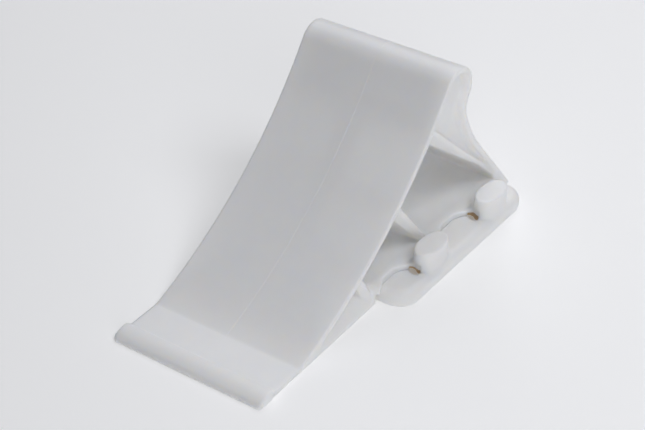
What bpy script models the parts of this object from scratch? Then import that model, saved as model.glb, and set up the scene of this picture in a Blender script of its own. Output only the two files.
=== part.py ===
# A moulded plastic wheel chock: a curved face that fits the tyre, a rolled crest, a sloping back,
# and a foot rail with two holder posts along each side of the base.
# X runs from the toe (-) to the heel (+), Y across, Z up. The origin is under the middle, on the floor.
import math

import bmesh
import bpy
from mathutils import Matrix, Vector

# ---- driving dimensions, metres and degrees ----
FACE_RADIUS = 0.348  # the tyre radius that the face fits
FACE_WIDTH = 0.121
WALL = 0.004  # wall of the face, crest, back and sole
GAP = 0.0003  # clearance between neighbouring members
EDGE_ROUND = 0.0008

TOE_RUN = 0.048  # toe tip to the bend where the curved face starts
TOE_THICKNESS = 0.004
TOE_LIP_LENGTH = 0.016
TOE_LIP_HEIGHT = 0.0064
TOE_LIP_OVERHANG = 0.0012  # how far the lip stands past the face at each side

FACE_FOOT_SLOPE = 18.8  # slope of the face at the bend
FACE_CREST_SLOPE = 54.2  # slope of the face where it meets the crest
CREST_RADIUS = 0.0178
NECK_RADIUS = 0.0154  # tight hollow curve under the crest
NECK_EXIT_SLOPE = 67.9  # slope of the back where that curve opens into the wide one
BACK_BOW_RADIUS = 0.137  # wide hollow curve down to the straight back
BACK_OFFSET = 0.0124  # how far the back's plane passes in front of the crest's centre
BACK_SLOPE = 50.4

WEB_THICKNESS = 0.022
RIB_THICKNESS = 0.003
RIB_ANGLES = {"upper": 49.2, "middle": 39.9, "lower": 31.0}  # slope of the face where each rib meets it
RIB_REACH = {"upper": 0.140, "middle": 0.090, "lower": 0.060}  # longest length away from the face
RIB_SETBACK = 0.004  # from the side edge of the face to a rib's edge

FLOOR_LIP_HEIGHT = 0.012  # underside of the pocket floor, which overhangs the rail
FLOOR_LIP_THICKNESS = 0.002
FLOOR_LIP_OVERHANG = 0.0090  # past the side edge of the face
FLOOR_FRONT_OVERHANG = 0.0018  # the same at its front corner
SCALLOP_DEPTH = 0.0095
SCALLOP_LENGTH = 0.026
FLOOR_EDGE_ROUND = 0.0004

RAIL_LENGTH = 0.1617
RAIL_WIDTH = 0.0235
RAIL_HEIGHT = 0.010
RAIL_CORNER = 0.011
RAIL_EDGE_ROUND = 0.003
RAIL_HEEL_INSET = 0.0163  # from the heel's edge to the rail's rear end

POST_LENGTH = 0.033
POST_WIDTH = 0.0175
POST_HEIGHT = 0.016
POST_PITCH = 0.0785
POST_EDGE_INSET = 0.0025  # from the rail's outer side to the post's
REAR_POST_SETBACK = 0.0364  # from the rail's rear end to the rear post's centre
POST_EDGE_ROUND = 0.0015
SLOT_LENGTH = 0.009
SLOT_WIDTH = 0.0085

ARC_STEP = 4.0  # degrees per facet on the tight curves
FACE_STEP = 1.5
MERGE = 0.00001

COLOURS = {
    "shell_white": (0.78, 0.79, 0.79),
    "rail_white": (0.80, 0.80, 0.79),
    "web_white": (0.74, 0.74, 0.72),
}
ROUGHNESS = 0.42

# ---- places worked out from the driving dimensions, in the side view (x, z) from the toe tip ----
foot_slope = math.radians(FACE_FOOT_SLOPE)
crest_slope = math.radians(FACE_CREST_SLOPE)
back_slope = math.radians(BACK_SLOPE)
exit_slope = math.radians(NECK_EXIT_SLOPE)
half_width = FACE_WIDTH / 2
sole_top = WALL

face_centre = Vector((TOE_RUN - FACE_RADIUS * math.sin(foot_slope),
                      TOE_THICKNESS + FACE_RADIUS * math.cos(foot_slope)))


def on_face(slope, depth=0.0):
    """Point under the face where its slope has this value, at this depth below the surface."""
    reach = FACE_RADIUS + depth
    return face_centre + reach * Vector((math.sin(slope), -math.cos(slope)))


crest_centre = on_face(crest_slope, CREST_RADIUS)
back_normal = Vector((math.sin(back_slope), math.cos(back_slope)))
back_along = Vector((-math.cos(back_slope), math.sin(back_slope)))
exit_normal = Vector((math.sin(exit_slope), math.cos(exit_slope)))
# the neck's centre lies on a line beside the back, where it also touches the crest
neck_reach = back_normal * (BACK_BOW_RADIUS - BACK_OFFSET) - exit_normal * (BACK_BOW_RADIUS - NECK_RADIUS)
neck_lead = neck_reach.dot(back_along)
neck_drop = neck_lead + math.sqrt(neck_lead ** 2 - neck_reach.length_squared
                                  + (CREST_RADIUS + NECK_RADIUS) ** 2)
neck_centre = crest_centre + neck_reach - back_along * neck_drop
bow_centre = neck_centre + exit_normal * (BACK_BOW_RADIUS - NECK_RADIUS)
bow_foot = bow_centre - back_normal * BACK_BOW_RADIUS  # where the back becomes straight
heel_x = bow_foot.x + bow_foot.y / math.tan(back_slope)
mid_x = heel_x / 2  # the row's origin, under the middle of the length

# the lowest face slope at which the face plate's underside clears the sole
plate_slope = math.acos((face_centre.y - sole_top - GAP) / (FACE_RADIUS + WALL))

rail_rear = heel_x - RAIL_HEEL_INSET
rail_front = rail_rear - RAIL_LENGTH
rail_inner = half_width + GAP
rail_outer = rail_inner + RAIL_WIDTH
rear_post_x = rail_rear - REAR_POST_SETBACK
post_places = {"rear": rear_post_x, "front": rear_post_x - POST_PITCH}
post_y = rail_outer - POST_EDGE_INSET - POST_WIDTH / 2
slot_shift = (POST_LENGTH + SLOT_LENGTH) / 2 + GAP * 3  # slot centre in front of its post's centre


# ---- helpers ----
def clear_scene():
    for item in list(bpy.data.objects):
        bpy.data.objects.remove(item)


def new_collection(name):
    collection = bpy.data.collections.new(name)
    bpy.context.scene.collection.children.link(collection)
    return collection


def plastic(name):
    material = bpy.data.materials.new(name)
    material.use_nodes = True
    shader = material.node_tree.nodes["Principled BSDF"]
    shader.inputs["Base Color"].default_value = (*COLOURS[name], 1.0)
    shader.inputs["Roughness"].default_value = ROUGHNESS
    shader.inputs["Metallic"].default_value = 0.0
    material.diffuse_color = (*COLOURS[name], 1.0)
    return material


def place(item, collection, material=None):
    if material:
        item.data.materials.append(material)
    collection.objects.link(item)
    return item


def bevel(item, width, segments=2, angle=40):
    modifier = item.modifiers.new("edge_round", "BEVEL")
    modifier.width = width
    modifier.segments = segments
    modifier.limit_method = "ANGLE"
    modifier.angle_limit = math.radians(angle)
    return modifier


def arc(centre, radius, start, end, step=ARC_STEP):
    """Points on a circle in the side view, from one angle to another in degrees."""
    count = max(2, math.ceil(abs(end - start) / step))
    angles = [math.radians(start + (end - start) * i / count) for i in range(count + 1)]
    return [centre + radius * Vector((math.cos(a), math.sin(a))) for a in angles]


def offset_face(depth, low, high, step=FACE_STEP):
    """Points along the face between two slopes in degrees, at a depth under its surface."""
    return arc(face_centre, FACE_RADIUS + depth, low - 90, high - 90, step)


def flat_outline(name, points, thickness):
    """A closed outline with this thickness, as a flat curve with filled faces."""
    curve = bpy.data.curves.new(name, "CURVE")
    curve.dimensions = "2D"
    curve.fill_mode = "BOTH"
    curve.extrude = thickness / 2
    spline = curve.splines.new("POLY")
    spline.points.add(len(points) - 1)
    spline.use_cyclic_u = True
    for knot, point in zip(spline.points, points):
        knot.co = (point[0], point[1], 0, 1)
    return bpy.data.objects.new(name, curve)


def weld(item):
    modifier = item.modifiers.new("weld", "WELD")
    modifier.merge_threshold = MERGE


def side_plate(name, points, y_low, y_high, collection, material, edge=EDGE_ROUND):
    """A flat member cut to a side-view outline, between two places across the chock."""
    item = flat_outline(name, points, y_high - y_low)
    item.rotation_euler = (math.radians(90), 0, 0)
    item.location = (-mid_x, (y_low + y_high) / 2, 0)
    weld(item)
    if edge:
        bevel(item, edge)
    return place(item, collection, material)


def plan_plate(name, points, z_low, z_high, collection, material, edge=EDGE_ROUND):
    """A flat member cut to a plan outline, between two heights."""
    item = flat_outline(name, points, z_high - z_low)
    item.location = (-mid_x, 0, (z_low + z_high) / 2)
    weld(item)
    if edge:
        bevel(item, edge)
    return place(item, collection, material)


def curved_wall(name, path, outward, collection, material):
    """A wall across the full width whose outer surface follows a side-view path."""
    mesh = bpy.data.meshes.new(name)
    work = bmesh.new()
    knots = [work.verts.new((p.x - mid_x, -half_width, p.y)) for p in path]
    edges = [work.edges.new(pair) for pair in zip(knots, knots[1:])]
    swept = bmesh.ops.extrude_edge_only(work, edges=edges)
    moved = [part for part in swept["geom"] if isinstance(part, bmesh.types.BMVert)]
    bmesh.ops.translate(work, verts=moved, vec=(0, FACE_WIDTH, 0))
    work.normal_update()
    if sum((face.normal for face in work.faces), Vector()).dot(outward) < 0:
        bmesh.ops.reverse_faces(work, faces=work.faces)
    work.to_mesh(mesh)
    work.free()
    item = bpy.data.objects.new(name, mesh)
    solid = item.modifiers.new("wall", "SOLIDIFY")
    solid.thickness = WALL
    solid.offset = -1
    solid.use_even_offset = True
    bevel(item, EDGE_ROUND)
    return place(item, collection, material)


def to_mesh(item, collection):
    """The same shape as a welded mesh object, for a boolean cut."""
    bpy.context.view_layer.update()
    graph = bpy.context.evaluated_depsgraph_get()
    mesh = bpy.data.meshes.new_from_object(item.evaluated_get(graph))
    work = bmesh.new()
    work.from_mesh(mesh)
    bmesh.ops.remove_doubles(work, verts=work.verts, dist=MERGE)
    work.to_mesh(mesh)
    work.free()
    name = item.name
    matrix = item.matrix_world.copy()
    bpy.data.objects.remove(item)
    solid = bpy.data.objects.new(name, mesh)
    solid.matrix_world = matrix
    collection.objects.link(solid)
    return solid


def cuttable_plate(name, points, z_low, z_high, collection, material=None):
    """A flat member cut to a plan outline, as a mesh that a boolean can cut."""
    shape = flat_outline(name, points, z_high - z_low)
    shape.location = (-mid_x, 0, (z_low + z_high) / 2)
    bpy.context.scene.collection.objects.link(shape)
    solid = to_mesh(shape, collection)
    solid.name = name
    solid.data.materials.clear()
    if material:
        solid.data.materials.append(material)
    return solid


def cut(item, cutter):
    modifier = item.modifiers.new("cut_" + cutter.name, "BOOLEAN")
    modifier.operation = "DIFFERENCE"
    modifier.solver = "EXACT"
    modifier.object = cutter
    cutter.hide_render = True
    cutter.display_type = "WIRE"


def oval(centre, length, width, steps=12):
    """Plan outline of an oval with round ends, long along X."""
    reach = (length - width) / 2
    points = []
    for end, start in ((1, -90), (-1, 90)):
        middle = Vector((centre[0] + end * reach, centre[1]))
        points += arc(middle, width / 2, start, start + 180, 180 / steps)
    return points


# ---- the members ----
def make_toe_lip(collection, material):
    """Raised rounded bar along the toe."""
    nose = TOE_LIP_HEIGHT * 0.62
    back_round = TOE_LIP_HEIGHT - TOE_THICKNESS
    end = TOE_LIP_LENGTH
    points = [Vector((nose * 0.4, 0)), Vector((end, 0)), Vector((end, TOE_THICKNESS))]
    points += arc(Vector((end - back_round, TOE_THICKNESS)), back_round, 15, 90, 15)
    points += arc(Vector((nose, TOE_LIP_HEIGHT - nose)), nose, 90, 190, 12)
    reach = half_width + TOE_LIP_OVERHANG
    side_plate("toe_lip", points, -reach, reach, collection, material)


def make_toe_plate(collection, material):
    """Flat ramp between the lip and the foot of the curved face."""
    start = TOE_LIP_LENGTH + GAP
    end = on_face(plate_slope, WALL)
    points = [Vector((start, 0)), Vector((end.x, 0)), end]
    points += reversed(offset_face(0, FACE_FOOT_SLOPE, math.degrees(plate_slope)))
    points.append(Vector((start, TOE_THICKNESS)))
    side_plate("toe_plate", points, -half_width, half_width, collection, material, 0.0005)


def make_face_plate(collection, material):
    margin = math.degrees(GAP / FACE_RADIUS)
    path = offset_face(0, math.degrees(plate_slope) + margin, FACE_CREST_SLOPE)
    curved_wall("face_plate", path, Vector((-1, 0, 1)), collection, material)


def make_crest_roll(collection, material):
    """Rolled top edge, from the face over to the hollow curve of the back."""
    margin = math.degrees(GAP / CREST_RADIUS)
    tip = neck_centre - crest_centre
    end = math.degrees(math.atan2(tip.y, tip.x)) + margin
    path = arc(crest_centre, CREST_RADIUS, FACE_CREST_SLOPE + 90 - margin, end, 7)
    curved_wall("crest_roll", path, Vector((0, 0, 1)), collection, material)


def hollow_back(offset=0.0, step=6):
    """The hollow curves from the crest down to the straight back, moved inward by an offset."""
    tip = crest_centre - neck_centre
    top = math.degrees(math.atan2(tip.y, tip.x))
    tight = arc(neck_centre, NECK_RADIUS + offset, top, 270 - NECK_EXIT_SLOPE, step)
    wide = arc(bow_centre, BACK_BOW_RADIUS + offset, 270 - NECK_EXIT_SLOPE, 270 - BACK_SLOPE, step / 2)
    return tight + wide[1:]


def on_back(height, offset=0.0):
    """Point on the back's plane, moved inward by an offset, at this height."""
    start = bow_foot - back_normal * offset
    return start - back_along * ((start.y - height) / math.sin(back_slope))


def make_back_plate(collection, material):
    foot = sole_top + GAP + WALL * math.cos(back_slope)
    path = hollow_back() + [on_back(foot)]
    curved_wall("back_plate", path, Vector((1, 0, 1)), collection, material)


def make_sole_plate(collection, material):
    """Flat base under the whole body, behind the toe."""
    start = on_face(plate_slope, WALL).x + GAP
    points = [Vector((start, 0)), Vector((heel_x, 0)), on_back(sole_top), Vector((start, sole_top))]
    side_plate("sole_plate", points, -half_width, half_width, collection, material)


def make_centre_web(collection, material):
    """Upright wall on the middle plane that joins the face, the crest and the back."""
    inset = WALL + GAP
    bottom = sole_top + GAP
    low = math.degrees(math.acos((face_centre.y - bottom) / (FACE_RADIUS + inset))) + 0.05
    points = offset_face(inset, low, FACE_CREST_SLOPE)
    tip = neck_centre - crest_centre
    end = math.degrees(math.atan2(tip.y, tip.x))
    points += arc(crest_centre, CREST_RADIUS - inset, FACE_CREST_SLOPE + 90, end, 12)[1:]
    points += hollow_back(inset)
    points.append(on_back(bottom, inset))
    half = WEB_THICKNESS / 2
    side_plate("centre_web", points, -half, half, collection, material, 0)


def rib_length(slope, reach, side_floor):
    """How far a rib runs from the face before it meets the floor or the back."""
    inset = WALL + GAP
    start = on_face(slope, inset)
    along = Vector((math.sin(slope), -math.cos(slope)))
    across = RIB_THICKNESS / 2
    to_floor = (start.y - side_floor - across * math.sin(slope)) / math.cos(slope)
    closing = along.dot(back_normal)
    depth = (bow_foot - back_normal * inset - start).dot(back_normal)
    corner = abs(Vector((-along.y, along.x)).dot(back_normal)) * across
    to_back = (depth - corner) / closing if closing > 0 else reach
    return min(reach, to_floor, to_back - GAP)


def make_rib(level, side, collection, material):
    """Radial rib from the web to the open side, square to the face."""
    slope = math.radians(RIB_ANGLES[level])
    inset = WALL + GAP
    floor = FLOOR_LIP_HEIGHT + FLOOR_LIP_THICKNESS if level != "lower" else sole_top
    length = rib_length(slope, RIB_REACH[level], floor + GAP)
    inner = WEB_THICKNESS / 2 + GAP
    outer = half_width - RIB_SETBACK
    middle = on_face(slope, inset + length / 2)
    bpy.ops.mesh.primitive_cube_add(size=1)
    item = bpy.context.object
    item.name = f"{side}_{level}_rib"
    item.data.transform(Matrix.Diagonal((length, outer - inner, RIB_THICKNESS, 1)))
    item.rotation_euler = (0, math.pi / 2 - slope, 0)
    item.location = (middle.x - mid_x, side_sign[side] * (inner + outer) / 2, middle.y)
    bevel(item, EDGE_ROUND)
    item.data.materials.append(material)
    for owner in list(item.users_collection):
        owner.objects.unlink(item)
    collection.objects.link(item)


def make_pocket_floor(side, collection, cutters, material):
    """Thin floor of the side pocket, whose scalloped lip overhangs the foot rail."""
    sign = side_sign[side]
    inner = WEB_THICKNESS / 2 + GAP
    lip = half_width + FLOOR_LIP_OVERHANG
    top = FLOOR_LIP_HEIGHT + FLOOR_LIP_THICKNESS
    rear = on_back(top, WALL + GAP).x
    edge = []
    for place_name in ("front", "rear"):
        centre = post_places[place_name] - slot_shift
        for i in range(13):
            turn = math.pi * 2 * i / 12
            x = centre + SCALLOP_LENGTH * (i / 12 - 0.5)
            edge.append(Vector((x, lip - SCALLOP_DEPTH * (1 - math.cos(turn)) / 2)))
    front = min(rail_front, edge[0].x - GAP)
    points = [Vector((front, inner)), Vector((rear, inner)), Vector((rear, lip))]
    points += reversed(edge)
    points.append(Vector((front, half_width + FLOOR_FRONT_OVERHANG)))
    points = [Vector((p.x, p.y * sign)) for p in points]
    floor = cuttable_plate(f"{side}_pocket_floor", points, FLOOR_LIP_HEIGHT, top, collection, material)
    bevel(floor, FLOOR_EDGE_ROUND)
    for place_name in post_places:
        room = post_outline(side, place_name, GAP)
        cut(floor, cuttable_plate(f"{side}_{place_name}_post_room", room, 0, top * 2, cutters))


def post_outline(side, place_name, clearance=0.0):
    """Plan of a post, grown by a clearance."""
    centre = (post_places[place_name], side_sign[side] * post_y)
    return oval(centre, POST_LENGTH + clearance * 2, POST_WIDTH + clearance * 2)


def rail_outline():
    """Plan of a foot rail: straight inner side, two round outer corners."""
    corner = RAIL_CORNER
    points = [Vector((rail_front, rail_inner)), Vector((rail_rear, rail_inner))]
    outer = rail_outer - corner
    points += arc(Vector((rail_rear - corner, outer)), corner, 0, 90, 15)
    points += arc(Vector((rail_front + corner, outer)), corner, 90, 180, 15)
    return points


def make_foot_rail(side, collection, cutters, material):
    """Foot along one side of the base, with a through slot in front of each post."""
    sign = side_sign[side]
    points = [Vector((p.x, p.y * sign)) for p in rail_outline()]
    rail = cuttable_plate(f"{side}_foot_rail", points, 0, RAIL_HEIGHT, collection, material)
    bevel(rail, RAIL_EDGE_ROUND, 3)
    for place_name, x in post_places.items():
        hole = oval((x - slot_shift, sign * post_y), SLOT_LENGTH, SLOT_WIDTH, 8)
        cut(rail, cuttable_plate(f"{side}_{place_name}_slot", hole, -RAIL_HEIGHT, RAIL_HEIGHT * 2, cutters))


def make_post(side, place_name, collection, material):
    """Oval holder post that stands on the rail."""
    low = RAIL_HEIGHT + GAP
    item = plan_plate(f"{side}_{place_name}_post", post_outline(side, place_name), low, low + POST_HEIGHT, collection,
                      material, POST_EDGE_ROUND)
    item.modifiers["edge_round"].segments = 3


side_sign = {"right": -1, "left": 1}


def build():
    clear_scene()
    chock = new_collection("wheel_chock")
    cutters = new_collection("cutters")
    shell = plastic("shell_white")
    rail_white = plastic("rail_white")
    web_white = plastic("web_white")
    make_toe_lip(chock, shell)
    make_toe_plate(chock, shell)
    make_face_plate(chock, shell)
    make_crest_roll(chock, shell)
    make_back_plate(chock, shell)
    make_sole_plate(chock, shell)
    make_centre_web(chock, web_white)
    for side in side_sign:
        for level in RIB_ANGLES:
            make_rib(level, side, chock, web_white)
        make_pocket_floor(side, chock, cutters, shell)
        make_foot_rail(side, chock, cutters, rail_white)
        for place_name in post_places:
            make_post(side, place_name, chock, rail_white)


build()
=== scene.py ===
# Moulded wheel chock, dressed for rendering. Lengths in the dictionaries are millimetres. X runs from
# the toe tip to the heel, Y across from the middle plane, Z up from the floor. Slopes are in degrees.
import math

import bpy
import numpy as np
import openvdb
from mathutils import Matrix, Vector


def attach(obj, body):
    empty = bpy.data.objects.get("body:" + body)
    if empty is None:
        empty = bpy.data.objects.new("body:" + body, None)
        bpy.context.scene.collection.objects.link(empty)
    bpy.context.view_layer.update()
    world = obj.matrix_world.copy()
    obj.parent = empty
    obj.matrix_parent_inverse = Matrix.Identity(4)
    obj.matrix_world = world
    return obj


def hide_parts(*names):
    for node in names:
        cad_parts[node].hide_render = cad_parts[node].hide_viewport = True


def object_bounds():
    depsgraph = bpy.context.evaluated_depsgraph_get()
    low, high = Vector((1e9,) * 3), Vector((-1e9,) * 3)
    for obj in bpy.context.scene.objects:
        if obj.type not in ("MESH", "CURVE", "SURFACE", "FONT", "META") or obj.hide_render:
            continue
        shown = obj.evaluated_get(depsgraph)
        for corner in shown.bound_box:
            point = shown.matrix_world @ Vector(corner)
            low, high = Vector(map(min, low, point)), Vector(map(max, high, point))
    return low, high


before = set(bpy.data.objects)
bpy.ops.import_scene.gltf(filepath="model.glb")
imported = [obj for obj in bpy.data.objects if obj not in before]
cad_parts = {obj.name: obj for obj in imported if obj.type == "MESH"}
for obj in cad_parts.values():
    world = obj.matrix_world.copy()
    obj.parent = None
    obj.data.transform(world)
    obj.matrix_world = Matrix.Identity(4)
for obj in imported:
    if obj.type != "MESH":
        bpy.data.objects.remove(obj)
cadLow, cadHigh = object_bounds()

mm = 0.001
toeX = cadLow.x / mm  # where the toe tip lies along the row's X


def say(text):
    print("chock:", text)


# Shapes are distance fields, negative inside. These blend and measure them.
def smoothMax(a, b, blend):  # larger of two fields, rounded over this width
    h = np.clip(0.5 + 0.5 * (a - b) / blend, 0.0, 1.0)
    return b + (a - b) * h + blend * h * (1.0 - h)


def smoothMin(a, b, blend):
    return -smoothMax(-a, -b, blend)


def ease(x, low, high):  # 0 to 1 with soft ends
    t = np.clip((x - low) / (high - low), 0.0, 1.0)
    return t * t * (3.0 - 2.0 * t)


def lineField(x, z, start, end):  # distance to a run of the skin and its side, outside is positive
    along = np.subtract(end, start)
    length = math.hypot(*along)
    ux, uz = along / length
    dx, dz = x - start[0], z - start[1]
    t = np.clip(dx * ux + dz * uz, 0.0, length)
    away = np.hypot(dx - t * ux, dz - t * uz)
    return np.where(dz * ux - dx * uz >= 0.0, away, -away)


def arcField(x, z, centre, radius, low, high, hollow):  # the same for an arc between two angles
    dx, dz = x - centre[0], z - centre[1]
    away = np.hypot(dx, dz) - radius
    middle = math.radians((low + high) / 2)
    turn = np.arctan2(dz * math.cos(middle) - dx * math.sin(middle),
                      dx * math.cos(middle) + dz * math.sin(middle))
    inside = np.abs(turn) <= math.radians(abs(high - low) / 2) + 1e-6
    away = np.where(inside, away, 1e6)
    return -away if hollow else away


def ovalField(x, y, a, b):
    near = np.hypot(x / a, y / b) + 1e-6
    return near * (near - 1.0) / (np.hypot(x / a ** 2, y / b ** 2) + 1e-6)


def polar(centre, radius, degrees):
    a = math.radians(degrees)
    return (centre[0] + radius * math.cos(a), centre[1] + radius * math.sin(a))


slope = math.radians

skin = {  # one continuous wall: toe plate, bend, face, crest, neck and back
    "width": 121.0, "wall": 4.6, "toeRun": 45.2, "toeThick": 3.0, "bendRadius": 7.0,
    "faceRadius": 348.0, "footSlope": 18.32, "crestSlope": 54.2, "crestRadius": 17.8,
    "neckRadius": 15.4, "neckExit": 67.9, "bowRadius": 137.0, "backOffset": 12.4, "backSlope": 50.4,
    "frontX": 7.0, "frontRound": 1.5, "edgeRound": 1.0, "baseRound": 0.6,
}

# centres of the side view's arcs
faceCentre = (skin["toeRun"] - skin["faceRadius"] * math.sin(slope(skin["footSlope"])),
              skin["toeThick"] + skin["faceRadius"] * math.cos(slope(skin["footSlope"])))
crestCentre = polar(faceCentre, skin["faceRadius"] + skin["crestRadius"], skin["crestSlope"] - 90)
backOut = np.array((math.sin(slope(skin["backSlope"])), math.cos(slope(skin["backSlope"]))))
backUp = np.array((-backOut[1], backOut[0]))
exitOut = np.array((math.sin(slope(skin["neckExit"])), math.cos(slope(skin["neckExit"]))))
neckReach = (backOut * (skin["bowRadius"] - skin["backOffset"])
             - exitOut * (skin["bowRadius"] - skin["neckRadius"]))
neckLead = neckReach @ backUp
neckDrop = neckLead + math.sqrt(neckLead ** 2 - neckReach @ neckReach
                                + (skin["crestRadius"] + skin["neckRadius"]) ** 2)
neckCentre = np.array(crestCentre) + neckReach - backUp * neckDrop
bowCentre = neckCentre + exitOut * (skin["bowRadius"] - skin["neckRadius"])
bowFoot = bowCentre - backOut * skin["bowRadius"]
neckTop = math.degrees(math.atan2(crestCentre[1] - neckCentre[1], crestCentre[0] - neckCentre[0]))
bendZ = skin["toeThick"] + skin["bendRadius"]
bendReach = skin["faceRadius"] - skin["bendRadius"]
bendX = faceCentre[0] + math.sqrt(bendReach ** 2 - (faceCentre[1] - bendZ) ** 2)
bendSlope = math.degrees(math.asin((bendX - faceCentre[0]) / bendReach))
faceEnd = skin["crestSlope"] - 90
neckEnd = 270 - skin["neckExit"]


def skinField(x, z):  # toe plate, bend, face, crest, neck and back as one smooth outline
    far = 400.0
    runs = (
        lineField(x, z, (-far, skin["toeThick"]), (bendX, skin["toeThick"])),
        arcField(x, z, (bendX, bendZ), skin["bendRadius"], -90, bendSlope - 90, True),
        arcField(x, z, faceCentre, skin["faceRadius"], bendSlope - 90, faceEnd, True),
        arcField(x, z, crestCentre, skin["crestRadius"], neckTop - 180, faceEnd + 180, False),
        arcField(x, z, neckCentre, skin["neckRadius"], neckTop, neckEnd, True),
        arcField(x, z, bowCentre, skin["bowRadius"], neckEnd, 270 - skin["backSlope"], True),
        lineField(x, z, bowFoot, bowFoot - backUp * far),
    )
    best = runs[0]
    for run in runs[1:]:
        best = np.where(np.abs(run) < np.abs(best), run, best)
    return best


pocket = {  # side pockets between the skin, the middle wall and the floor
    "web": 11.0, "wallFillet": 6.0, "floorFillet": 9.0, "rimRound": 1.2,
    "upperWeb": 54.5, "upperFillet": 4.0,  # the compartment over the upper rib is only a shallow recess
    "floorToe": 4.0, "floorHeel": 14.0, "floorToeX": 62.0, "floorHeelX": 134.0, "floorRise": 0.07,
    "flankFoot": 2.0, "flankSlope": 1.1, "flankOut": 0.5, "flankBlend": 5.0,
    "flankEnd": (128.0, 137.0), "flankEndRise": 14.0,
}
rib = {  # upper, middle and lower, nearly square to the face
    "slopes": (49.2, 39.9, 31.0), "bevels": (8.0, 6.0, 4.5), "bevelRun": 96.0, "lean": 2.0,
    "thick": 1.5, "draft": 0.015, "edge": 58.5, "edgeRound": 1.5, "fillet": 3.6,
}
sinks = {"depth": 0.22, "spread": 6.0, "skinDepth": 3.0, "fade": (30.0, 50.0)}


def ribPlace(x, z, ribSlope):  # distance across a rib, positive above it, and along it from the face
    start = polar(faceCentre, skin["faceRadius"], ribSlope - 90)
    lean = slope(ribSlope - rib["lean"])
    across = (x - start[0]) * math.cos(lean) + (z - start[1]) * math.sin(lean)
    along = (x - start[0]) * math.sin(lean) - (z - start[1]) * math.cos(lean)
    return across, along


def ribField(x, y, z, ribSlope, ribBevel):  # the bevel under the free edge dies out towards the heel
    across, along = ribPlace(x, z, ribSlope)
    bevel = ribBevel * np.clip(1.0 - along / rib["bevelRun"], 0.0, 1.0)
    deeper = np.clip(rib["edge"] - y, 0.0, bevel) * ease(-across, 0.0, 1.0)
    side = np.abs(across) - rib["thick"] - rib["draft"] * (skin["width"] / 2 - y)
    return smoothMax(side - deeper, y - rib["edge"], rib["edgeRound"])


post = {  # oval posts for the holder, and the slot beside each one's inner front
    "rearX": 262.6, "pitch": 78.5, "y": 73.8, "frontIn": 1.6, "length": 33.0, "width": 17.6,
    "top": 26.3, "oval": 0.7, "edgeRound": 1.4, "rootZ": 2.0, "footFillet": 1.6,
    "slotOut": (-14.6, 69.6), "slotIn": (-7.0, 60.0), "slotRadius": 4.3, "slotTop": 16.5,
    "slotRound": 0.7, "roomX": 9.0, "roomY": 67.0, "roomWide": 8.0, "roomTop": 6.0,
}
postPlaces = (post["rearX"], post["rearX"] - post["pitch"])


def postField(x, y, place, grow=0.0):  # plan of a post
    a, b = post["length"] / 2, post["width"] / 2
    dx, dy = x - place, y - post["y"] + post["frontIn"] * (place < post["rearX"])
    capsule = np.hypot(np.maximum(np.abs(dx) - a + b, 0.0), dy) - b
    return post["oval"] * ovalField(dx, dy, a, b) + (1.0 - post["oval"]) * capsule - grow


def slotField(x, y, place):  # plan of the slot at a post's inner front
    outX, outY = post["slotOut"]
    alongX, alongY = post["slotIn"][0] - outX, post["slotIn"][1] - outY
    dx, dy = x - place - outX, y - outY
    t = np.clip((dx * alongX + dy * alongY) / (alongX ** 2 + alongY ** 2), 0.0, 1.0)
    return np.hypot(dx - t * alongX, dy - t * alongY) - post["slotRadius"]


rail = {  # low rail along each side that carries the posts
    "front": 137.3, "rear": 301.0, "inner": 55.0, "gap": 0.4, "outer": 83.2, "taper": 0.010,
    "top": 10.3, "frontCorner": 15.0, "rearCorner": 17.0, "edgeRound": 6.0, "frontSofter": 1.8,
    "softerOver": (142.0, 168.0), "baseRound": 0.6,
}
lip = {  # edge of the pocket floor that hangs over the rail
    "under": 8.0, "top": 14.0, "inner": 58.0, "bump": 11.0, "bumpRise": (-29.0, -8.0),
    "bumpFall": (14.0, 38.0), "frontX": 133.5, "heelX": 296.0, "flare": 5.0,
    "flareOver": (133.0, 146.0), "root": 6.0, "edgeRound": 0.9, "blend": 1.5,
    "underRound": 0.8, "trimTop": 22.0, "trimX": (136.0, 290.0), "trimRound": 1.0, "overSlot": 12.2,
    "footInset": 0.6, "footTop": 20.0, "footFillet": 4.5,
}


def lipEdge(x):  # how far the lip reaches across, scalloped in front of each post
    edge = np.full_like(x, lip["inner"])
    for place in postPlaces:
        u = x - place
        edge = edge + lip["bump"] * ease(u, *lip["bumpRise"]) * (1.0 - ease(u, *lip["bumpFall"]))
    return edge + lip["flare"] * (1.0 - ease(x, *lip["flareOver"]))


def floorHeight(x, y):  # top of the pocket floor, with the sloping flank in front of the rail
    half = skin["width"] / 2
    lift = np.clip((x - pocket["floorToeX"]) / (pocket["floorHeelX"] - pocket["floorToeX"]), 0.0, 1.0)
    floor = pocket["floorToe"] + (pocket["floorHeel"] - pocket["floorToe"]) * lift
    floor = floor + pocket["floorRise"] * np.maximum(half - y, 0.0)
    flank = pocket["flankFoot"] + pocket["flankSlope"] * (half + pocket["flankOut"] - y)
    flank = flank + pocket["flankEndRise"] * ease(x, *pocket["flankEnd"])
    return smoothMin(floor, flank, pocket["flankBlend"])


def hollowField(x, y, z, outer):  # one side's pocket: open at the side, ribs left standing
    deep = smoothMax(outer + skin["wall"], pocket["web"] - y, pocket["wallFillet"])
    shallow = smoothMax(outer + skin["wall"], pocket["upperWeb"] - y, pocket["upperFillet"])
    hollow = np.where(ribPlace(x, z, rib["slopes"][0])[0] > 0.0, shallow, deep)
    hollow = smoothMax(hollow, floorHeight(x, y) - z, pocket["floorFillet"])
    for ribSlope, ribBevel in zip(rib["slopes"], rib["bevels"]):
        hollow = smoothMax(hollow, -ribField(x, y, z, ribSlope, ribBevel), rib["fillet"])
    return hollow


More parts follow.
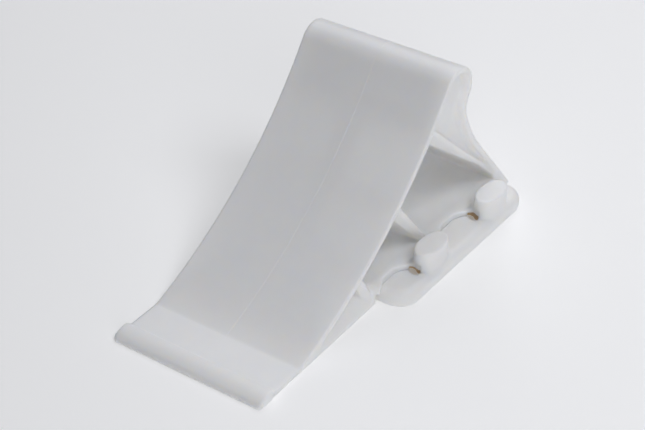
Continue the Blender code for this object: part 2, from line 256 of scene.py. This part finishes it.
def bodyField(x, y, z):
    y = np.abs(y)
    half = skin["width"] / 2
    outer = skinField(x, z)
    hollow = hollowField(x, y, z, outer)
    for ribSlope in rib["slopes"]:  # faint sink marks where the ribs back the face
        across = ((x - faceCentre[0]) * math.cos(slope(ribSlope))
                  + (z - faceCentre[1]) * math.sin(slope(ribSlope)))
        near = np.clip(1.0 - np.abs(outer) / sinks["skinDepth"], 0.0, 1.0)
        outer = outer + sinks["depth"] * near * np.exp(-(across / sinks["spread"]) ** 2) * (
            1.0 - ease(y, *sinks["fade"]))
    block = smoothMax(outer, y - half, skin["edgeRound"])
    block = smoothMax(block, skin["frontX"] - x, skin["frontRound"])
    # set back under the lip, so that the rail passes below it
    under = np.maximum(z - lip["under"], rail["inner"] - y)
    under = np.maximum(np.maximum(under, lip["frontX"] - x), x - lip["heelX"])
    block = smoothMax(block, -under, lip["underRound"])
    trim = np.maximum(lipEdge(x) - y, z - lip["trimTop"])
    trim = np.maximum(trim, np.maximum(lip["trimX"][0] - x, x - lip["trimX"][1]))
    block = smoothMax(block, -trim, lip["trimRound"])
    thick = np.maximum(z - lip["top"], lip["under"] - z)
    shelf = smoothMax(thick, y - lipEdge(x), lip["edgeRound"])
    shelf = smoothMax(shelf, lip["frontX"] - x, lip["blend"])
    shelf = smoothMax(shelf, outer, skin["edgeRound"])
    shelf = np.maximum(shelf, half - lip["root"] - y)
    solid = smoothMax(block, -hollow, pocket["rimRound"])
    solid = smoothMin(solid, shelf, lip["blend"])
    for place in postPlaces:  # the floor rises round each post's foot
        stub = np.maximum(postField(x, y, place, -lip["footInset"]), z - lip["footTop"])
        stub = np.maximum(stub, lip["under"] - z)
        solid = smoothMin(solid, stub, lip["footFillet"])
    for place in postPlaces:  # the lip is thin over each slot
        slot = np.maximum(slotField(x, y, place), z - lip["overSlot"])
        solid = smoothMax(solid, -slot, post["slotRound"])
    return smoothMax(solid, -z, skin["baseRound"])


def roundCorner(a, b):
    return np.hypot(np.maximum(a, 0), np.maximum(b, 0)) + np.minimum(np.maximum(a, b), 0)


def railField(x, y, z):
    middle = (rail["front"] + rail["rear"]) / 2
    outerY = rail["outer"] + rail["taper"] * (x - middle)
    # plan: straight inner side, round outer corners
    corner = np.where(x < middle, rail["frontCorner"], rail["rearCorner"])
    qx = np.abs(x - middle) - (rail["rear"] - rail["front"]) / 2 + corner
    qy = y - outerY + corner
    plan = roundCorner(qx, qy) - corner
    plan = np.maximum(plan, rail["inner"] + rail["gap"] - y)
    r = rail["edgeRound"] + rail["frontSofter"] * (1.0 - ease(x, *rail["softerOver"]))
    solid = roundCorner(plan + r, z - rail["top"] + r) - r
    for place in postPlaces:
        top = smoothMax(postField(x, y, place), z - post["top"], post["edgeRound"])
        top = np.maximum(top, post["rootZ"] - z)
        solid = smoothMin(solid, top, post["footFillet"])
    for place in postPlaces:  # slot beside each post, with room for a hook under it
        slot = np.maximum(slotField(x, y, place), z - post["slotTop"])
        solid = smoothMax(solid, -slot, post["slotRound"])
        room = np.maximum(np.abs(x - place - post["slotOut"][0]) - post["roomX"],
                          np.abs(y - post["roomY"]) - post["roomWide"])
        solid = smoothMax(solid, -np.maximum(room, z - post["roomTop"]), post["slotRound"])
    return smoothMax(solid, -z, rail["baseRound"])


toeLip = {  # bar along the toe: a long round nose over a short level back
    "length": 16.0, "nose": 12.0, "height": 6.4, "reach": 61.2, "corner": 4.0, "round": 1.6,
    "endRound": 2.0, "baseRound": 0.8,
}


def toeLipField(x, y, z):
    dx = np.minimum(x - toeLip["nose"], 0.0)
    nose = ovalField(dx, z, toeLip["nose"], toeLip["height"])
    bar = np.where(x < toeLip["nose"], nose, z - toeLip["height"])
    bar = smoothMax(bar, x - toeLip["length"], toeLip["round"])
    r = toeLip["corner"]
    corner = np.hypot(np.maximum(r - x, 0.0), np.maximum(np.abs(y) - toeLip["reach"] + r, 0.0)) - r
    solid = smoothMax(bar, corner, toeLip["endRound"])
    return smoothMax(solid, -z, toeLip["baseRound"])


mesher = {
    "body": {"voxel": 1.0, "low": (-2.0, -74.0, -3.0), "high": (320.0, 74.0, 146.0)},
    "rail": {"voxel": 0.8, "low": (134.0, -88.0, -2.0), "high": (303.0, -53.0, 29.0)},
    "toe": {"voxel": 0.7, "low": (-2.0, -65.0, -2.0), "high": (20.0, 65.0, 9.0)},
    "quickVoxel": 1.4, "slab": 24,  # slab: grid planes worked out at a time, which saves memory
    "slides": 2, "probe": 0.05, "leastSlope": 0.25, "longestSlide": 0.4,
}


def meshField(name, field, voxel, low, high):
    counts = [int(math.ceil((high[i] - low[i]) / voxel)) + 1 for i in range(3)]
    xs, ys, zs = (low[i] + voxel * np.arange(counts[i]) for i in range(3))
    grid = np.empty(counts, np.float32)
    for start in range(0, counts[0], mesher["slab"]):
        part = slice(start, start + mesher["slab"])
        x, y, z = np.meshgrid(xs[part], ys, zs, indexing="ij")
        grid[part] = field(x, y, z)
    volume = openvdb.FloatGrid(1000.0)
    volume.copyFromArray(grid)
    points, quads = volume.convertToQuads(isovalue=0.0)
    points = points.astype(np.float64) * voxel + np.array(low)
    probe = mesher["probe"]
    longest = mesher["longestSlide"] * voxel
    for _ in range(mesher["slides"]):  # slide every point onto the exact surface
        value = field(*points.T)
        ahead = [field(*(points + probe * way).T) for way in np.eye(3)]
        behind = [field(*(points - probe * way).T) for way in np.eye(3)]
        slide = (np.stack(ahead, 1) - np.stack(behind, 1)) / (2 * probe)
        size = np.maximum((slide ** 2).sum(1), mesher["leastSlope"])
        move = slide * (value / size)[:, None]
        points -= np.clip(move, -longest, longest)
    mesh = bpy.data.meshes.new(name)
    points[:, 0] += toeX
    mesh.from_pydata((points * mm).tolist(), [], quads[:, ::-1].tolist())
    mesh.update()
    for face in mesh.polygons:
        face.use_smooth = True
    item = bpy.data.objects.new(name, mesh)
    bpy.context.scene.collection.objects.link(item)
    say(f"{name}: {len(quads)} faces")
    return item


def mirrored(item, name):
    copy = bpy.data.objects.new(name, item.data.copy())
    copy.data.transform(Matrix.Scale(-1, 4, Vector((0, 1, 0))))
    copy.data.flip_normals()
    bpy.context.scene.collection.objects.link(copy)
    return copy


def linear(code):  # sRGB hex to linear colour
    parts = [int(code[i:i + 2], 16) / 255 for i in (0, 2, 4)]
    return tuple(c / 12.92 if c <= 0.04045 else ((c + 0.055) / 1.055) ** 2.4 for c in parts) + (1.0,)


def addNode(tree, kind, settings=None, links=None):
    node = tree.nodes.new(kind)
    for key, value in (settings or {}).items():
        if isinstance(key, str) and hasattr(node, key) and key not in node.inputs:
            setattr(node, key, value)
        else:
            node.inputs[key].default_value = value
    for key, source in (links or {}).items():
        tree.links.new(source, node.inputs[key])
    return node


satin = {  # sizes in millimetres, colours as sRGB
    "colour": "FDFCF9", "tone": "F7F7F6", "ior": 1.5, "roughness": 0.42, "dullBy": 0.05,
    "scatter": 1.0, "scatterMm": (5.0, 4.6, 4.0),
    "grainMm": 0.7, "grainDepth": 0.010, "flowMm": 38.0, "flowDepth": 0.10, "dullMm": 16.0,
    "speck": "9A9288", "speckMm": 34.0, "speckSize": 0.0115, "speckKept": 0.16, "speckBy": 0.8,
    "seamMm": 0.45, "seamDepth": 0.32, "seamFrom": 45.0,
    # painted shade: the brown below a height in the slots beside the posts stands in for the shade down
    # in them
    "paintedSlotShadeColour": "DCC5A3", "paintedSlotShadeAt": (-10.8, 64.8), "paintedSlotShadeReach": 11.0, "paintedSlotShadeBelow": 9.8,
    "paintedSlotShadeFade": 1.2,
}


def addMath(tree, operation, first, second):  # either may be a socket or a number
    node = tree.nodes.new("ShaderNodeMath")
    node.operation = operation
    for socket, value in zip(node.inputs, (first, second)):
        if isinstance(value, float):
            socket.default_value = value
        elif value is not None:
            tree.links.new(value, socket)
    return node.outputs[0]


def polyolefinSatin(name):  # injection moulded white polyolefin: satin, soft because light gets into it
    material = bpy.data.materials.new(name)
    material.use_nodes = True
    tree = material.node_tree
    tree.nodes.clear()
    place = addNode(tree, "ShaderNodeTexCoord").outputs["Object"]
    # slight flow marks and uneven gloss, as on a large moulding
    flow = addNode(tree, "ShaderNodeTexNoise", {"Scale": 1 / (satin["flowMm"] * mm), "Detail": 2.0},
                   {"Vector": place}).outputs["Fac"]
    dull = addNode(tree, "ShaderNodeTexNoise", {"Scale": 1 / (satin["dullMm"] * mm), "Detail": 5.0},
                   {"Vector": place}).outputs["Fac"]
    grain = addNode(tree, "ShaderNodeTexNoise", {"Scale": 1 / (satin["grainMm"] * mm), "Detail": 3.0},
                    {"Vector": place}).outputs["Fac"]
    rough = addNode(tree, "ShaderNodeMapRange", {
        "From Min": 0.3, "From Max": 0.7, "To Min": satin["roughness"] - satin["dullBy"],
        "To Max": satin["roughness"] + satin["dullBy"]}, {"Value": dull}).outputs["Result"]
    tone = addNode(tree, "ShaderNodeMapRange", {"From Min": 0.35, "From Max": 0.65, "To Max": 1.0},
                   {"Value": flow}).outputs["Result"]
    colour = addNode(tree, "ShaderNodeMix", {
        "data_type": "RGBA", 6: linear(satin["colour"]), 7: linear(satin["tone"])}, {0: tone}).outputs[2]
    # a few dark specks of dirt in the moulding
    cells = addNode(tree, "ShaderNodeTexVoronoi", {"Scale": 1 / (satin["speckMm"] * mm)},
                    {"Vector": place})
    chosen = addNode(tree, "ShaderNodeSeparateColor", links={0: cells.outputs["Color"]}).outputs["Red"]
    kept = addMath(tree, "LESS_THAN", chosen, satin["speckKept"])
    near = addNode(tree, "ShaderNodeMapRange", {
        "From Min": satin["speckSize"] * 0.6, "From Max": satin["speckSize"],
        "To Min": satin["speckBy"], "To Max": 0.0},
        {"Value": cells.outputs["Distance"]}).outputs["Result"]
    colour = addNode(tree, "ShaderNodeMix", {"data_type": "RGBA", 7: linear(satin["speck"])},
                     {0: addMath(tree, "MULTIPLY", kept, near), 6: colour}).outputs[2]
    # painted shade: a brown colour low down in the slots beside the posts, standing in for the shade
    # deep in each slot
    parts = addNode(tree, "ShaderNodeSeparateXYZ", links={0: place})
    beside = addMath(tree, "ABSOLUTE", parts.outputs["Y"], None)
    plan = addNode(tree, "ShaderNodeCombineXYZ", links={0: parts.outputs["X"], 1: beside}).outputs[0]
    reach = None
    for postX in postPlaces:
        middle = ((toeX + postX + satin["paintedSlotShadeAt"][0]) * mm, satin["paintedSlotShadeAt"][1] * mm, 0.0)
        gap = addNode(tree, "ShaderNodeVectorMath", {"operation": "DISTANCE", 1: middle},
                      {0: plan}).outputs["Value"]
        reach = gap if reach is None else addMath(tree, "MINIMUM", gap, reach)
    inside = addMath(tree, "LESS_THAN", reach, satin["paintedSlotShadeReach"] * mm)
    low = addNode(tree, "ShaderNodeMapRange", {
        "From Min": (satin["paintedSlotShadeBelow"] - satin["paintedSlotShadeFade"]) * mm,
        "From Max": satin["paintedSlotShadeBelow"] * mm, "To Min": 1.0, "To Max": 0.0},
        {"Value": parts.outputs["Z"]}).outputs["Result"]
    colour = addNode(tree, "ShaderNodeMix", {"data_type": "RGBA", 7: linear(satin["paintedSlotShadeColour"])},
                     {0: addMath(tree, "MULTIPLY", inside, low), 6: colour}).outputs[2]
    # heights in metres: grain, flow and the fine seam down the middle of the mould, behind the bend
    behind = addMath(tree, "GREATER_THAN", parts.outputs["X"], (toeX + satin["seamFrom"]) * mm)
    step = addNode(tree, "ShaderNodeMapRange", {
        "From Min": -satin["seamMm"] * mm, "From Max": satin["seamMm"] * mm,
        "To Max": satin["seamDepth"] * mm}, {"Value": parts.outputs["Y"]}).outputs["Result"]
    seam = addMath(tree, "MULTIPLY", step, behind)
    fine = addNode(tree, "ShaderNodeMath", {"operation": "MULTIPLY_ADD", 1: satin["grainDepth"] * mm},
                   {0: grain, 2: seam}).outputs[0]
    height = addNode(tree, "ShaderNodeMath", {"operation": "MULTIPLY_ADD", 1: satin["flowDepth"] * mm},
                     {0: flow, 2: fine}).outputs[0]
    bump = addNode(tree, "ShaderNodeBump", {"Strength": 1.0, "Distance": 1.0}, {"Height": height})
    shader = addNode(tree, "ShaderNodeBsdfPrincipled", {
        "IOR": satin["ior"], "Subsurface Weight": satin["scatter"], "Subsurface Scale": 1.0 * mm,
        "Subsurface Radius": satin["scatterMm"]},
        {"Base Color": colour, "Roughness": rough, "Normal": bump.outputs["Normal"]})
    addNode(tree, "ShaderNodeOutputMaterial", links={"Surface": shader.outputs["BSDF"]})
    return material


view = {  # place from the toe tip, angles in degrees, focal length in widths of the sensor
    "place": (-640.92, -560.10, 725.32), "tilt": 35.26, "turn": 35.09, "roll": 0.11,
    "focal": 2.658713, "sensor": 36.0,
}


def makeCamera():
    data = bpy.data.cameras.new("camera")
    data.sensor_width = view["sensor"]
    data.lens = view["focal"] * data.sensor_width
    data.dof.use_dof = False
    camera = bpy.data.objects.new("camera", data)
    e, a = slope(view["tilt"]), slope(view["turn"])
    forward = Vector((math.cos(e) * math.cos(a), math.cos(e) * math.sin(a), -math.sin(e)))
    right = Vector((math.sin(a), -math.cos(a), 0))
    up = right.cross(forward)
    turn = Matrix((right, up, -forward)).transposed()
    place = Vector(view["place"]) + Vector((toeX, 0, 0))
    roll = Matrix.Rotation(-slope(view["roll"]), 4, "Z")
    camera.matrix_world = Matrix.Translation(place * mm) @ turn.to_4x4() @ roll
    bpy.context.scene.collection.objects.link(camera)
    bpy.context.scene.camera = camera


studio = {
    # brightness of the room towards an axis and sign
    "walls": (("Z", 1, 0.04), ("Y", 1, 0.10), ("X", -1, 0.02)), "tint": "FAFBFF",
    # name, place and aim in metres, side of the square in metres, watts
    "lamps": (("overhead", (0.9, 0.32, 1.5), (0, 0, 0), 1.4, 13.3),
              ("high at the side", (0.1, -0.9, 1.5), (0.05, 0, 0), 0.8, 8.4),
              ("low in front", (-0.9, -1.0, 0.6), (0.05, 0, 0.02), 0.8, 4.5)),
    "floor": "F8F8F8", "floorGlow": 0.18, "floorSize": 8, "floorRoughness": 0.9,
}


def makeLight(name, place, aim, size, power):
    data = bpy.data.lights.new(name, "AREA")
    data.shape = "SQUARE"
    data.size = size
    data.energy = power
    data.color = linear(studio["tint"])[:3]
    item = bpy.data.objects.new(name, data)
    item.location = place
    item.rotation_euler = (Vector(aim) - Vector(place)).to_track_quat("-Z", "Y").to_euler()
    bpy.context.scene.collection.objects.link(item)


def makeStage():
    bpy.ops.mesh.primitive_plane_add(size=studio["floorSize"])
    floor = bpy.context.object
    floor.name = "floor"
    material = bpy.data.materials.new("pale floor")
    material.use_nodes = True
    shader = material.node_tree.nodes["Principled BSDF"]
    shader.inputs["Base Color"].default_value = linear(studio["floor"])
    shader.inputs["Roughness"].default_value = studio["floorRoughness"]
    shader.inputs["Emission Color"].default_value = (1, 1, 1, 1)
    shader.inputs["Emission Strength"].default_value = studio["floorGlow"]
    floor.data.materials.append(material)
    world = bpy.data.worlds.new("studio")
    world.use_nodes = True
    tree = world.node_tree
    way = addNode(tree, "ShaderNodeTexCoord")
    parts = addNode(tree, "ShaderNodeSeparateXYZ", links={0: way.outputs["Generated"]})
    total = None
    for axis, sign, strength in studio["walls"]:  # brightness that fades away from each direction
        facing = addMath(tree, "MULTIPLY", parts.outputs[axis], float(sign * strength))
        glow = addMath(tree, "MAXIMUM", facing, 0.0)
        total = addMath(tree, "ADD", glow, total) if total else glow
    sky = tree.nodes["Background"]
    sky.inputs["Color"].default_value = linear(studio["tint"])
    tree.links.new(total, sky.inputs["Strength"])
    bpy.context.scene.world = world
    for name, place, aim, size, power in studio["lamps"]:
        makeLight(name, place, aim, size, power)
    bpy.context.scene.view_settings.view_transform = "Standard"


makeCamera()
makeStage()
say("camera, lights and floor are in place")
plastic = polyolefinSatin("white polyolefin, satin moulded")

body = meshField("moulded_body", bodyField, **mesher["body"])
rightRail = meshField("right_rail_with_posts", lambda x, y, z: railField(x, -y, z), **mesher["rail"])
leftRail = mirrored(rightRail, "left_rail_with_posts")
toeBar = meshField("toe_bar", toeLipField, **mesher["toe"])

for piece in (body, rightRail, leftRail, toeBar):
    piece.data.materials.append(plastic)
    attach(piece, "root")
say("pieces ride on the root body")

ribNodes = [f"{side}_{level}_rib" for side in ("right", "left")
            for level in ("upper", "middle", "lower")]
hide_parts("toe_plate", "face_plate", "crest_roll", "back_plate", "sole_plate", "centre_web",
            "right_pocket_floor", "left_pocket_floor", *ribNodes)
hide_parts("right_foot_rail", "right_front_post", "right_rear_post")
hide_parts("left_foot_rail", "left_front_post", "left_rear_post")
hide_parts("toe_lip")
